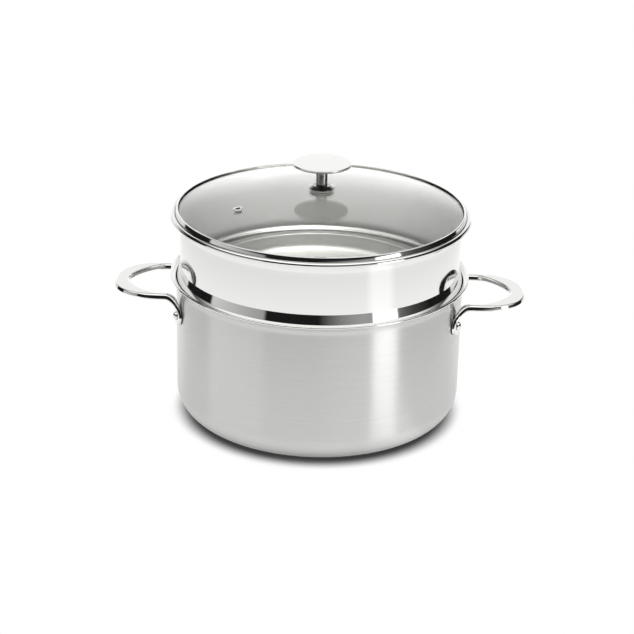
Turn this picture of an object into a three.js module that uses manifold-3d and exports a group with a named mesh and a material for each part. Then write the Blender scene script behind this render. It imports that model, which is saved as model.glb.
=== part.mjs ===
// A two-tier steamer pot: a steel pot with two riveted loop handles, a steamer that hangs in the
// pot's flared mouth, and a domed glass lid with a disc knob.
// Millimetres, +Z up. The origin is the centre of the pot's underside, and the handles lie along X.

import * as THREE from 'three';
import { mergeVertices } from 'three/addons/utils/BufferGeometryUtils.js';
import Module from 'manifold-3d';

const wasm = await Module();
wasm.setup();

// Facets round a large piece, round a small one, and along one arc of an outline.
const ROUND = 48;
const SMALL_ROUND = 16;
const ARC_STEPS = 5;

// Gap between two pieces that touch.
const CLEARANCE = 0.3;

// Pot: bore, sheet, height to the rim, outside corner at the base and the flare of the mouth.
const POT_BORE = 240;
const POT_WALL = 2;
const POT_HEIGHT = 126;
const POT_CORNER = 24;
const POT_FLARE_RADIUS = 12;
const POT_FLARE_SWEEP = 58;

// Heat-spreading base: an aluminium core under the pot's floor, closed by a steel cap.
const BASE_DIAMETER = 190;
const BASE_CORE_THICKNESS = 4;
const BASE_CAP_THICKNESS = 0.8;

// Handles: a flat loop on two bent legs, each ending in a riveted foot.
const HANDLE_SPAN = 350;
const HANDLE_BELOW_RIM = 12;
const HANDLE_LOOP_THICKNESS = 4;
const HANDLE_LOOP_WIDTH = 78;
const HANDLE_TIP_WIDTH = 11.4;
const HANDLE_OUTER_POWER = 2.4;
const HANDLE_INNER_POWER = 1.45;
const HANDLE_STEPS = 20;
const LEG_WIDTH = 7;
const LEG_THICKNESS = 5;
const LEG_BEND = 7;
const LEG_STRAIGHT = 7;
const LEG_LAP = 6;
const FOOT_WIDTH = 16;
const FOOT_THICKNESS = 3.2;
const FOOT_LAP = 4;
const FOOT_BARE = 2.3;

// Rivets: one through each foot and the pot's wall.
const RIVET_ANGLE = 18.75;
const RIVET_SHANK = 4.4;
const RIVET_HEAD = 7.4;
const RIVET_HEAD_HEIGHT = 2.6;
const RIVET_INNER_HEAD = 9;
const RIVET_INNER_HEIGHT = 1.2;

// Steamer: wall, mouth, and the sloping skirt that seats in the pot's flare.
const STEAMER_DIAMETER = 238;
const STEAMER_SHEET = 1;
const STEAMER_RISE = 54;
const STEAMER_FLARE_RADIUS = 14;
const STEAMER_FLARE_SWEEP = 68;
const SKIRT_DIAMETER = 243.6;
const SKIRT_HEIGHT = 10.8;

// Steaming tray: a perforated well whose flange lies on the steamer's ledge.
const TRAY_SHEET = 1;
const TRAY_FLANGE_DIAMETER = 208;
const WELL_DIAMETER = 194;
const WELL_DEPTH = 15;
const WELL_CORNER = 6;
const HOLE_DIAMETER = 5.6;
const HOLE_PITCH = 17;
const HOLE_RINGS = 4;
const HOLE_FACETS = 8;

// Lid: domed glass in a folded steel band.
const GLASS_DIAMETER = 242;
const GLASS_THICKNESS = 3.5;
const GLASS_RISE = 17;
const GLASS_RINGS = 6;
const BAND_SHEET = 0.8;
const BAND_LAP = 1.6;
const BAND_WALL = 1.7;
const BAND_CHAMFER = 1;

// Steam vent: a steel eyelet through the glass.
const VENT_FROM_AXIS = 77.5;
const VENT_DIRECTION = 210;
const VENT_HOLE = 4;
const VENT_BARREL = 6;
const VENT_FLANGE = 8.4;
const VENT_FLANGE_THICKNESS = 0.8;

// Knob: gasket, flange, stem and disc above the glass, held by a screw from below.
const KNOB_GASKET_DIAMETER = 20;
const KNOB_GASKET_THICKNESS = 0.8;
const KNOB_FLANGE_DIAMETER = 22;
const KNOB_FLANGE_TOP = 15;
const KNOB_FLANGE_HEIGHT = 2.8;
const KNOB_STEM_DIAMETER = 9.6;
const KNOB_STEM_LENGTH = 16.8;
const KNOB_DISC_DIAMETER = 50;
const KNOB_DISC_THICKNESS = 2.2;
const KNOB_DISC_EDGE = 0.6;
const SCREW_DIAMETER = 5;
const SCREW_REACH = 9;
const SCREW_HEAD_DIAMETER = 9;
const SCREW_HEAD_HEIGHT = 2.8;
const SCREW_SOCKET_DIAMETER = 3;
const SCREW_SOCKET_DEPTH = 1.6;
const GLASS_HOLE = 8;
const WASHER_DIAMETER = 18;
const WASHER_THICKNESS = 1;

// Points, arcs and turned bodies

const radians = THREE.MathUtils.degToRad;
const at = (across, up) => new THREE.Vector2(across, up);

// Points of an arc about a centre, between two angles in degrees.
function arc(centre, radius, from, to, steps = ARC_STEPS) {
  return Array.from({ length: steps + 1 }, (_, i) => {
    const angle = radians(from + ((to - from) * i) / steps);
    return at(centre.x + radius * Math.cos(angle), centre.y + radius * Math.sin(angle));
  });
}

// A body turned about Z from an outline of radius and height. The outline climbs on its outside.
// It closes on itself unless it starts and ends on the axis.
function turned(outline, facets = ROUND) {
  const closed = outline[0].x > 0 ? [...outline, outline[0]] : outline;
  return new THREE.LatheGeometry(closed, facets).rotateX(Math.PI / 2);
}

// A flat ring, or a disc where the bore is 0, with its lower face at a height.
function ring(bore, diameter, low, thickness, facets = ROUND) {
  const high = low + thickness;
  const inner = bore / 2;
  const outer = diameter / 2;
  return turned([at(inner, low), at(outer, low), at(outer, high), at(inner, high)], facets);
}

// Solids for cutting and joining

function solid(geometry) {
  const bare = geometry.clone();
  bare.deleteAttribute('normal');
  bare.deleteAttribute('uv');
  const merged = mergeVertices(bare);
  const corners = merged.index.array;
  const triVerts = [];
  for (let i = 0; i < corners.length; i += 3) {
    const [a, b, c] = corners.slice(i, i + 3);
    if (a !== b && b !== c && c !== a) triVerts.push(a, b, c);
  }
  const mesh = new wasm.Mesh({
    numProp: 3,
    vertProperties: new Float32Array(merged.attributes.position.array),
    triVerts: new Uint32Array(triVerts),
  });
  return new wasm.Manifold(mesh);
}

function geometryOf(body) {
  const mesh = body.getMesh();
  const geometry = new THREE.BufferGeometry();
  geometry.setAttribute('position', new THREE.BufferAttribute(mesh.vertProperties, 3));
  geometry.setIndex(new THREE.BufferAttribute(mesh.triVerts, 1));
  geometry.computeVertexNormals();
  return geometry;
}

// Materials

const steel = (color, roughness) => new THREE.MeshStandardMaterial({ color, roughness, metalness: 1 });
const brushedSteel = () => steel(0xc9c9c7, 0.35);
const polishedSteel = () => steel(0xdadad8, 0.1);
const aluminium = () => steel(0xd2d3d5, 0.45);
const silicone = () => new THREE.MeshStandardMaterial({ color: 0xd8d8d4, roughness: 0.6 });
const clearGlass = () =>
  new THREE.MeshStandardMaterial({ color: 0xeef3f1, roughness: 0.05, transparent: true, opacity: 0.35 });

const steamerPot = new THREE.Group();

function add(name, geometry, material, parent = steamerPot) {
  const mesh = new THREE.Mesh(geometry, material);
  mesh.name = name;
  parent.add(mesh);
  return mesh;
}

// The rolled-out mouth of a drawn vessel. The sheet bends about a centre outside its wall, so its
// inside follows the larger arc and its outside the smaller one, and its edge is rounded.
function flare({ innerRadius, sheet, radius, sweep, rimHeight }) {
  const start = rimHeight - radius * Math.sin(radians(sweep));
  const centre = at(innerRadius + radius, start);
  const [, edge] = arc(centre, radius - sheet / 2, 180, 180 - sweep, 1);
  edge.x += (sheet / 2) * Math.sin(radians(sweep));
  edge.y += (sheet / 2) * Math.cos(radians(sweep));
  const heightAt = (r) => start + Math.sqrt(radius ** 2 - (centre.x - r) ** 2);
  return {
    points: [
      ...arc(centre, radius - sheet, 180, 180 - sweep),
      edge,
      ...arc(centre, radius, 180 - sweep, 180),
    ],
    // Height of a corner of that radius that rests in the mouth, with the clearance square to it.
    seatFor: (r) => heightAt(r) + (CLEARANCE * radius) / (heightAt(r) - start),
  };
}

// Pot and its base

const potInner = POT_BORE / 2;
const potOuter = potInner + POT_WALL;
const potMouth = flare({
  innerRadius: potInner,
  sheet: POT_WALL,
  radius: POT_FLARE_RADIUS,
  sweep: POT_FLARE_SWEEP,
  rimHeight: POT_HEIGHT,
});
const coreBottom = BASE_CAP_THICKNESS + CLEARANCE;
const floorUnderside = coreBottom + BASE_CORE_THICKNESS + CLEARANCE;
const floorTop = floorUnderside + POT_WALL;
const recess = BASE_DIAMETER / 2 + CLEARANCE;
const handleTop = POT_HEIGHT - HANDLE_BELOW_RIM;
const outerBend = LEG_BEND + LEG_THICKNESS;
const bendBottom = handleTop - outerBend;
const rivetHeight = bendBottom - FOOT_BARE - RIVET_HEAD / 2;

function potBody() {
  const corner = at(potOuter - POT_CORNER, POT_CORNER);
  const innerCorner = POT_CORNER - POT_WALL;
  const floorAngle = -THREE.MathUtils.radToDeg(Math.asin((POT_CORNER - floorTop) / innerCorner));
  return turned([
    at(0, floorUnderside),
    at(recess, floorUnderside),
    at(recess, 0),
    ...arc(corner, POT_CORNER, -90, 0),
    ...potMouth.points,
    ...arc(corner, innerCorner, 0, floorAngle),
    at(0, floorTop),
  ]);
}

// A cylinder along a radius of the pot, through the wall at a rivet.
function rivetHole(angle) {
  const length = 3 * (POT_WALL + FOOT_THICKNESS);
  const radius = RIVET_SHANK / 2 + CLEARANCE;
  return new THREE.CylinderGeometry(radius, radius, length, SMALL_ROUND)
    .rotateZ(Math.PI / 2)
    .translate(potOuter, 0, rivetHeight)
    .rotateZ(radians(angle));
}

const frontAndRear = { front: -RIVET_ANGLE, rear: RIVET_ANGLE };
const sides = { right: 0, left: 180 };

let potSolid = solid(potBody());
for (const turn of Object.values(sides)) {
  for (const angle of Object.values(frontAndRear)) {
    potSolid = potSolid.subtract(solid(rivetHole(turn + angle)));
  }
}
add('pot_body', geometryOf(potSolid), brushedSteel());
add('base_heat_core', ring(0, BASE_DIAMETER, coreBottom, BASE_CORE_THICKNESS), aluminium());
add('base_cap', ring(0, BASE_DIAMETER, 0, BASE_CAP_THICKNESS), brushedSteel());

// Handles, made on the +X side

const footInner = potOuter + CLEARANCE;
const footOuter = footInner + FOOT_THICKNESS;

const tip = HANDLE_SPAN / 2;
const loopHalf = HANDLE_LOOP_WIDTH / 2;
const legWall = Math.sqrt(footInner ** 2 - (loopHalf - LEG_WIDTH / 2) ** 2);
const bendCentre = at(legWall + outerBend, bendBottom);
const loopStart = bendCentre.x + LEG_STRAIGHT;

// Half of a superellipse from one leg, round its end on +X, to the other leg.
function loopCurve(end, halfWidth, power) {
  const length = end - loopStart;
  return Array.from({ length: HANDLE_STEPS + 1 }, (_, i) => {
    const angle = -Math.PI / 2 + (Math.PI * i) / HANDLE_STEPS;
    const across = Math.sign(Math.sin(angle)) * Math.abs(Math.sin(angle)) ** (2 / power);
    return at(loopStart + length * Math.abs(Math.cos(angle)) ** (2 / power), halfWidth * across);
  });
}

function handleLoop() {
  const outer = loopCurve(tip, loopHalf, HANDLE_OUTER_POWER);
  const opening = loopCurve(tip - HANDLE_TIP_WIDTH, loopHalf - LEG_WIDTH, HANDLE_INNER_POWER);
  const plan = new THREE.Shape([...outer, ...opening.reverse()]);
  return new THREE.ExtrudeGeometry(plan, { depth: HANDLE_LOOP_THICKNESS, bevelEnabled: false })
    .translate(0, 0, handleTop - HANDLE_LOOP_THICKNESS);
}

// A leg seen from the side: along under the loop, then bent down against the wall.
function handleLeg(side) {
  const end = loopStart + LEG_LAP;
  const outline = new THREE.Shape([
    at(end, handleTop),
    ...arc(bendCentre, outerBend, 90, 180),
    ...arc(bendCentre, LEG_BEND, 180, 90),
    at(end, handleTop - LEG_THICKNESS),
  ]);
  return new THREE.ExtrudeGeometry(outline, { depth: LEG_WIDTH, bevelEnabled: false })
    .rotateX(Math.PI / 2)
    .translate(0, side > 0 ? loopHalf : LEG_WIDTH - loopHalf, 0);
}

// A round-ended foot, as a thick prism along a radius that is then cut to the wall's curve.
function handleFoot(angle) {
  const half = FOOT_WIDTH / 2;
  const outline = new THREE.Shape([
    at(half, bendBottom + FOOT_LAP),
    at(-half, bendBottom + FOOT_LAP),
    ...arc(at(0, rivetHeight), half, 180, 360),
  ]);
  const toRadius = new THREE.Matrix4().makeBasis(
    new THREE.Vector3(0, 1, 0),
    new THREE.Vector3(0, 0, 1),
    new THREE.Vector3(1, 0, 0),
  );
  return new THREE.ExtrudeGeometry(outline, { depth: potOuter, bevelEnabled: false })
    .applyMatrix4(toRadius)
    .translate(potOuter / 2, 0, 0)
    .rotateZ(radians(angle));
}

function handleBody() {
  const wallCurve = solid(ring(2 * footInner, 2 * footOuter, 0, POT_HEIGHT));
  const potSpace = solid(ring(0, 2 * footInner, 0, POT_HEIGHT));
  let body = solid(handleLoop());
  for (const side of [-1, 1]) {
    body = body.add(solid(handleLeg(side)).subtract(potSpace));
  }
  for (const angle of Object.values(frontAndRear)) {
    body = body.add(solid(handleFoot(angle)).intersect(wallCurve));
  }
  for (const angle of Object.values(frontAndRear)) {
    body = body.subtract(solid(rivetHole(angle)));
  }
  return geometryOf(body);
}

// A rivet along its own Z: a domed head outside, a shank, and a flat head inside the pot.
function rivetBody() {
  const innerSeat = potInner * Math.cos(Math.PI / ROUND) - CLEARANCE;
  const outerSeat = footOuter + CLEARANCE;
  const headHalf = RIVET_HEAD / 2;
  const quarter = arc(at(0, 0), 1, 0, 90, 3);
  const dome = quarter.map((p) => at(headHalf * p.x, outerSeat + RIVET_HEAD_HEIGHT * p.y));
  dome.at(-1).x = 0;
  return turned([
    at(0, innerSeat - RIVET_INNER_HEIGHT),
    at(RIVET_INNER_HEAD / 2, innerSeat - RIVET_INNER_HEIGHT),
    at(RIVET_INNER_HEAD / 2, innerSeat),
    at(RIVET_SHANK / 2, innerSeat),
    at(RIVET_SHANK / 2, outerSeat),
    ...dome,
  ], SMALL_ROUND);
}

const alongRadius = new THREE.Matrix4().makeRotationY(Math.PI / 2);

for (const [side, turn] of Object.entries(sides)) {
  const handle = new THREE.Group();
  handle.rotation.z = radians(turn);
  steamerPot.add(handle);
  add(`handle_${side}`, handleBody(), polishedSteel(), handle);
  for (const [end, angle] of Object.entries(frontAndRear)) {
    // Front is the -Y side of the pot, so the turned handle swaps its two angles.
    const facing = turn === 0 ? angle : -angle;
    const rivet = rivetBody().applyMatrix4(alongRadius).translate(0, 0, rivetHeight);
    rivet.rotateZ(radians(facing));
    add(`rivet_${side}_${end}`, rivet, polishedSteel(), handle);
  }
}

// Steamer

const steamerOuter = STEAMER_DIAMETER / 2;
const steamerInner = steamerOuter - STEAMER_SHEET;
const skirtOuter = SKIRT_DIAMETER / 2;
const steamerMouth = flare({
  innerRadius: steamerInner,
  sheet: STEAMER_SHEET,
  radius: STEAMER_FLARE_RADIUS,
  sweep: STEAMER_FLARE_SWEEP,
  rimHeight: POT_HEIGHT + STEAMER_RISE,
});
const ledgeUnderside = potMouth.seatFor(skirtOuter);
const ledgeTop = ledgeUnderside + STEAMER_SHEET;
const skirtTop = ledgeUnderside + SKIRT_HEIGHT;

function steamerWall() {
  const opening = WELL_DIAMETER / 2 + CLEARANCE;
  return turned([
    at(opening, ledgeUnderside),
    at(skirtOuter, ledgeUnderside),
    at(steamerOuter, skirtTop),
    ...steamerMouth.points,
    at(steamerInner, skirtTop),
    at(skirtOuter - STEAMER_SHEET, ledgeTop),
    at(opening, ledgeTop),
  ]);
}

add('steamer_wall', geometryOf(solid(steamerWall())), brushedSteel());

// Steaming tray

const flangeBottom = ledgeTop + CLEARANCE;
const flangeTop = flangeBottom + TRAY_SHEET;
const trayFloorTop = flangeTop - WELL_DEPTH;

function trayShell() {
  const wellOuter = WELL_DIAMETER / 2;
  const corner = at(wellOuter - WELL_CORNER, trayFloorTop - TRAY_SHEET + WELL_CORNER);
  return turned([
    at(0, trayFloorTop - TRAY_SHEET),
    ...arc(corner, WELL_CORNER, -90, 0, 3),
    at(wellOuter, flangeBottom),
    at(TRAY_FLANGE_DIAMETER / 2, flangeBottom),
    at(TRAY_FLANGE_DIAMETER / 2, flangeTop),
    at(wellOuter - TRAY_SHEET, flangeTop),
    ...arc(corner, WELL_CORNER - TRAY_SHEET, 0, -90, 3),
    at(0, trayFloorTop),
  ]);
}

// Rings of punched holes, six more on each ring than on the ring inside it.
function steamingTray() {
  let tray = solid(trayShell());
  for (let ringIndex = 0; ringIndex <= HOLE_RINGS; ringIndex += 1) {
    const count = Math.max(1, 6 * ringIndex);
    for (let i = 0; i < count; i += 1) {
      const hole = ring(0, HOLE_DIAMETER, trayFloorTop - 2 * TRAY_SHEET, 3 * TRAY_SHEET, HOLE_FACETS)
        .translate(ringIndex * HOLE_PITCH, 0, 0)
        .rotateZ((2 * Math.PI * i) / count);
      tray = tray.subtract(solid(hole));
    }
  }
  return geometryOf(tray);
}

add('steaming_tray', steamingTray(), polishedSteel());

// Lid: the folded band lies in the steamer's mouth and grips the edge of the glass

const glassEdge = GLASS_DIAMETER / 2;
const bandOuter = glassEdge + CLEARANCE + BAND_WALL;
const bandBottom = steamerMouth.seatFor(bandOuter - BAND_CHAMFER);
const glassEdgeTop = bandBottom + BAND_SHEET + CLEARANCE + GLASS_THICKNESS;
const glassApex = glassEdgeTop + GLASS_RISE;
const domeRadius = (glassEdge ** 2 + GLASS_RISE ** 2) / (2 * GLASS_RISE);
const domeTop = (r) => glassApex - domeRadius + Math.sqrt(domeRadius ** 2 - r ** 2);
const domeUnder = (r) => domeTop(r) - GLASS_THICKNESS;

// The vent's place: on the dome, square to the glass, turned about the axis.
const ventPlace = new THREE.Matrix4()
  .makeRotationZ(radians(VENT_DIRECTION))
  .multiply(new THREE.Matrix4().makeTranslation(VENT_FROM_AXIS, 0, domeTop(VENT_FROM_AXIS)))
  .multiply(new THREE.Matrix4().makeRotationY(Math.asin(VENT_FROM_AXIS / domeRadius)));

function lidGlass() {
  const radii = Array.from({ length: GLASS_RINGS + 1 }, (_, i) => {
    return GLASS_HOLE / 2 + ((glassEdge - GLASS_HOLE / 2) * i) / GLASS_RINGS;
  });
  const under = radii.map((r) => at(r, domeUnder(r)));
  const top = radii.map((r) => at(r, domeTop(r))).reverse();
  const ventBore = VENT_BARREL + 2 * CLEARANCE;
  const ventHole = ring(0, ventBore, -2 * GLASS_THICKNESS, 4 * GLASS_THICKNESS, SMALL_ROUND);
  return geometryOf(solid(turned([...under, ...top])).subtract(solid(ventHole.applyMatrix4(ventPlace))));
}

function rimBand() {
  const lap = glassEdge - BAND_LAP;
  const groove = glassEdge + CLEARANCE;
  const top = domeTop(glassEdge) + CLEARANCE + BAND_SHEET;
  return turned([
    at(lap, bandBottom),
    at(bandOuter - BAND_CHAMFER, bandBottom),
    at(bandOuter, bandBottom + BAND_CHAMFER),
    at(bandOuter, top - BAND_CHAMFER),
    at(bandOuter - BAND_CHAMFER, top),
    at(lap, domeTop(lap) + CLEARANCE + BAND_SHEET),
    at(lap, domeTop(lap) + CLEARANCE),
    at(groove, domeTop(glassEdge) + CLEARANCE),
    at(groove, bandBottom + BAND_SHEET),
    at(lap, bandBottom + BAND_SHEET),
  ]);
}

// An eyelet with its upper flange on the glass and its lower flange under it.
function ventEyelet() {
  const hole = VENT_HOLE / 2;
  const barrel = VENT_BARREL / 2;
  const flange = VENT_FLANGE / 2;
  const low = -GLASS_THICKNESS - CLEARANCE;
  return turned([
    at(hole, low - VENT_FLANGE_THICKNESS),
    at(flange, low - VENT_FLANGE_THICKNESS),
    at(flange, low),
    at(barrel, low),
    at(barrel, CLEARANCE),
    at(flange, CLEARANCE),
    at(flange - VENT_FLANGE_THICKNESS / 2, CLEARANCE + VENT_FLANGE_THICKNESS),
    at(hole, CLEARANCE + VENT_FLANGE_THICKNESS),
  ], SMALL_ROUND);
}

add('lid_glass', lidGlass(), clearGlass());
add('lid_rim_band', rimBand(), polishedSteel());
add('vent_eyelet', ventEyelet().applyMatrix4(ventPlace), polishedSteel());

// Knob, stacked upwards from the glass and downwards to the screw's head

const screwHole = SCREW_DIAMETER + 2 * CLEARANCE;
const gasketBottom = glassApex + CLEARANCE;
const knobFlangeBottom = gasketBottom + KNOB_GASKET_THICKNESS + CLEARANCE;
const stemBottom = knobFlangeBottom + KNOB_FLANGE_HEIGHT + CLEARANCE;
const discBottom = stemBottom + KNOB_STEM_LENGTH + CLEARANCE;
const underGasketBottom = domeUnder(WASHER_DIAMETER / 2) - CLEARANCE - WASHER_THICKNESS;
const washerBottom = underGasketBottom - CLEARANCE - WASHER_THICKNESS;
const screwSeat = washerBottom - CLEARANCE;

function knobFlange() {
  return turned([
    at(screwHole / 2, knobFlangeBottom),
    at(KNOB_FLANGE_DIAMETER / 2, knobFlangeBottom),
    at(KNOB_FLANGE_DIAMETER / 2, knobFlangeBottom + KNOB_FLANGE_HEIGHT / 3),
    at(KNOB_FLANGE_TOP / 2, knobFlangeBottom + KNOB_FLANGE_HEIGHT),
    at(screwHole / 2, knobFlangeBottom + KNOB_FLANGE_HEIGHT),
  ], SMALL_ROUND);
}

// The stem has a blind tapped hole from below for the screw.
function knobStem() {
  const holeTop = stemBottom + SCREW_REACH + CLEARANCE;
  return turned([
    at(0, holeTop),
    at(screwHole / 2, holeTop),
    at(screwHole / 2, stemBottom),
    at(KNOB_STEM_DIAMETER / 2, stemBottom),
    at(KNOB_STEM_DIAMETER / 2, stemBottom + KNOB_STEM_LENGTH),
    at(0, stemBottom + KNOB_STEM_LENGTH),
  ], SMALL_ROUND);
}

function knobDisc() {
  const half = KNOB_DISC_DIAMETER / 2;
  const top = discBottom + KNOB_DISC_THICKNESS;
  return turned([
    at(0, discBottom),
    at(half - KNOB_DISC_EDGE, discBottom),
    at(half, discBottom + KNOB_DISC_EDGE),
    at(half, top - KNOB_DISC_EDGE),
    at(half - KNOB_DISC_EDGE, top),
    at(0, top),
  ]);
}

function knobScrew() {
  const headBottom = screwSeat - SCREW_HEAD_HEIGHT;
  return turned([
    at(0, headBottom + SCREW_SOCKET_DEPTH),
    at(SCREW_SOCKET_DIAMETER / 2, headBottom + SCREW_SOCKET_DEPTH),
    at(SCREW_SOCKET_DIAMETER / 2, headBottom),
    at(SCREW_HEAD_DIAMETER / 2, headBottom),
    at(SCREW_HEAD_DIAMETER / 2, screwSeat),
    at(SCREW_DIAMETER / 2, screwSeat),
    at(SCREW_DIAMETER / 2, stemBottom + SCREW_REACH),
    at(0, stemBottom + SCREW_REACH),
  ], SMALL_ROUND);
}

const knobGasket = ring(screwHole, KNOB_GASKET_DIAMETER, gasketBottom, KNOB_GASKET_THICKNESS, SMALL_ROUND);
const underGasket = ring(screwHole, WASHER_DIAMETER, underGasketBottom, WASHER_THICKNESS, SMALL_ROUND);
const washer = ring(screwHole, WASHER_DIAMETER, washerBottom, WASHER_THICKNESS, SMALL_ROUND);

add('knob_gasket', knobGasket, silicone());
add('knob_flange', knobFlange(), polishedSteel());
add('knob_stem', knobStem(), polishedSteel());
add('knob_disc', knobDisc(), brushedSteel());
add('under_glass_gasket', underGasket, silicone());
add('under_glass_washer', washer, polishedSteel());
add('knob_screw', knobScrew(), polishedSteel());

export default steamerPot;
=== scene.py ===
# %% [markdown]
# # A steamer pot in steel and glass
# Nearly every piece of this object is round, so nearly every piece here is one outline turned about
# one axis. The handles are the exception: each is a bar whose section changes along its way.
# The lesson goes from the frame and the camera to the studio, the finishes, and then the pieces.

# %% Load the frame
import math

import bmesh
import bpy
import numpy as np
from mathutils import Matrix, Vector


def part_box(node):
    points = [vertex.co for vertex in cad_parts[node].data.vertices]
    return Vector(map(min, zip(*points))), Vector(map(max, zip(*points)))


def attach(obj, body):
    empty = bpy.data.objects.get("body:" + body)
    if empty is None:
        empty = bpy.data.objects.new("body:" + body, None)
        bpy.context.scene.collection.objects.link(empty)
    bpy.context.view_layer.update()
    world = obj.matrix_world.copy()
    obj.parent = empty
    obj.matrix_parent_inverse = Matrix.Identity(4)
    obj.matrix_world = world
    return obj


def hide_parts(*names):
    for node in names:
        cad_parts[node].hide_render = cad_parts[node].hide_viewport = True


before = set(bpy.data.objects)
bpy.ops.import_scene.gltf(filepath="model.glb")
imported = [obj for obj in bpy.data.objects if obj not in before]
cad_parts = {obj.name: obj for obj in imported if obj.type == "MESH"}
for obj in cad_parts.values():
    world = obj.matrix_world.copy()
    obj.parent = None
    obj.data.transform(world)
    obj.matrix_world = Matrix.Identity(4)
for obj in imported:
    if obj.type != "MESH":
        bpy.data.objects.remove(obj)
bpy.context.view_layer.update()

MM = 0.001

# %% [markdown]
# ## Camera
# A long lens from a little above. The camera looks at a point inside the pot, stands slightly to the
# right of its front, and is tipped a little about its own line of sight. A constraint could aim it,
# but it couldn't tip it, so its place and turn are written as one matrix.

# %% Camera
CAMERA_LENS = 107.4
CAMERA_DISTANCE = 1633 * MM
CAMERA_ELEVATION = math.radians(22.42)
CAMERA_AZIMUTH = math.radians(2.2)
CAMERA_ROLL = math.radians(1.314)
CAMERA_TARGET = Vector((-1.4 * MM, 0, 82.9 * MM))
CAMERA_REACH = 100.0


def place_camera():
    """The camera sits back from its target along one direction, then rolls about that direction."""
    camera = bpy.data.objects.new("camera", bpy.data.cameras.new("camera"))
    bpy.context.collection.objects.link(camera)
    level = math.cos(CAMERA_ELEVATION)
    across = math.sin(CAMERA_AZIMUTH) * level
    away = math.cos(CAMERA_AZIMUTH) * level
    back = Vector((across, -away, math.sin(CAMERA_ELEVATION)))
    aim = (-back).to_track_quat("-Z", "Y").to_matrix().to_4x4()
    place = Matrix.Translation(CAMERA_TARGET + CAMERA_DISTANCE * back)
    camera.matrix_world = place @ aim @ Matrix.Rotation(CAMERA_ROLL, 4, "Z")
    camera.data.lens = CAMERA_LENS
    camera.data.clip_end = CAMERA_REACH
    bpy.context.scene.camera = camera
    return camera


print("camera at", [round(v, 3) for v in place_camera().location])

# %% [markdown]
# ## Shader maths
# Shaders are graphs, but most of what they compute is plain arithmetic. A small class wraps an output
# socket and overloads the operators, so that a formula reads as a formula. Any other node comes from
# one method, which takes the node's type, its settings and its sockets.

# %% Sockets that can be added and multiplied
DEGREES = 180 / math.pi


class Signal:
    """An output socket. Arithmetic on it adds a Math node and gives that node's output."""

    def __init__(self, graph, socket):
        self.graph = graph
        self.socket = socket

    def also(self, name):
        """Another output of the same node."""
        return Signal(self.graph, self.socket.node.outputs[name])

    def math(self, operation, *values):
        """The output of a Math node on these values."""
        return self.graph.node("ShaderNodeMath", {"operation": operation}, dict(enumerate(values)))

    def __add__(self, other):
        return self.math("ADD", self, other)

    def __sub__(self, other):
        return self.math("SUBTRACT", self, other)

    def __rsub__(self, other):
        return self.math("SUBTRACT", other, self)

    def __mul__(self, other):
        return self.math("MULTIPLY", self, other)

    __radd__ = __add__
    __rmul__ = __mul__

    def clipped(self):
        """The value kept between 0 and 1."""
        return self.math("MINIMUM", self.math("MAXIMUM", self, 0.0), 1.0)


class Graph:
    """A node tree, and the one way to add a node to it."""

    def __init__(self, tree):
        self.tree = tree
        tree.nodes.clear()

    def node(self, kind, settings=None, sockets=None, output=0):
        """Adds a node, sets its settings, then fills its sockets with values or links."""
        node = self.tree.nodes.new(kind)
        for name, value in (settings or {}).items():
            setattr(node, name, value)
        for name, value in (sockets or {}).items():
            if isinstance(value, Signal):
                self.tree.links.new(value.socket, node.inputs[name])
            else:
                node.inputs[name].default_value = value
        return Signal(self, node.outputs[output]) if node.outputs else None

    def ramp(self, value, low, high):
        """0 below low, 1 above high, and a straight climb between them."""
        return self.node("ShaderNodeMapRange", None, {"Value": value, "From Min": low, "From Max": high})

    def between(self, value, start, stop, soft):
        """1 from start to stop and 0 outside, with both ends softened."""
        return self.ramp(value, start - soft, start + soft) - self.ramp(value, stop - soft, stop + soft)

    def bearing(self, vector):
        """Which way a vector points round Z, in degrees from -Y towards +X."""
        x = self.node("ShaderNodeSeparateXYZ", None, {"Vector": vector})
        return x.math("ARCTAN2", x, x.also("Y") * -1.0) * DEGREES

    def shade(self, level, warmth=1.0):
        """A grey that changes over the surface. Less warmth than 1 leaves it short of blue."""
        blue = level if warmth == 1.0 else level * warmth
        return self.node("ShaderNodeCombineColor", None, {"Red": level, "Green": level, "Blue": blue})


# %% Greys and materials
STEEL_WARMTH = 0.98


def grey(level):
    """A plain grey."""
    return (level, level, level, 1.0)


def steel(level):
    """The grey of steel, which is a little short of blue."""
    return (level, level, level * STEEL_WARMTH, 1.0)


def new_material(name):
    """A material and its empty graph."""
    material = bpy.data.materials.new(name)
    material.use_nodes = True
    return material, Graph(material.node_tree)


def close(material, graph, shader):
    """Links a shader to the material's output and gives the material back."""
    graph.node("ShaderNodeOutputMaterial", None, {"Surface": shader})
    return material


print("steel is", steel(1.0))

# %% [markdown]
# ## Studio
# Polished steel has no colour of its own: it shows the room. The room here is a white table and a
# white ceiling, with dark space between them on the camera's side, one tall bright window to the
# right, a grey panel to the left, and pale walls behind the pot. A photograph of a room would do the
# same, but panels with edges in degrees can be set one by one. They show only in reflections. All
# other light from the world is plain and even, so that a colour renders about as it is written.

# %% World
DARK_SPACE = 0.012
CEILING_STARTS = 36.0
CEILING_FULL = 50.0
CEILING_LIGHT = 1.45
CEILING_BEHIND = 0.65
BEHIND_STARTS = 120.0
BEHIND_FULL = 150.0
WORLD_LIGHT = 0.85
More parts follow.
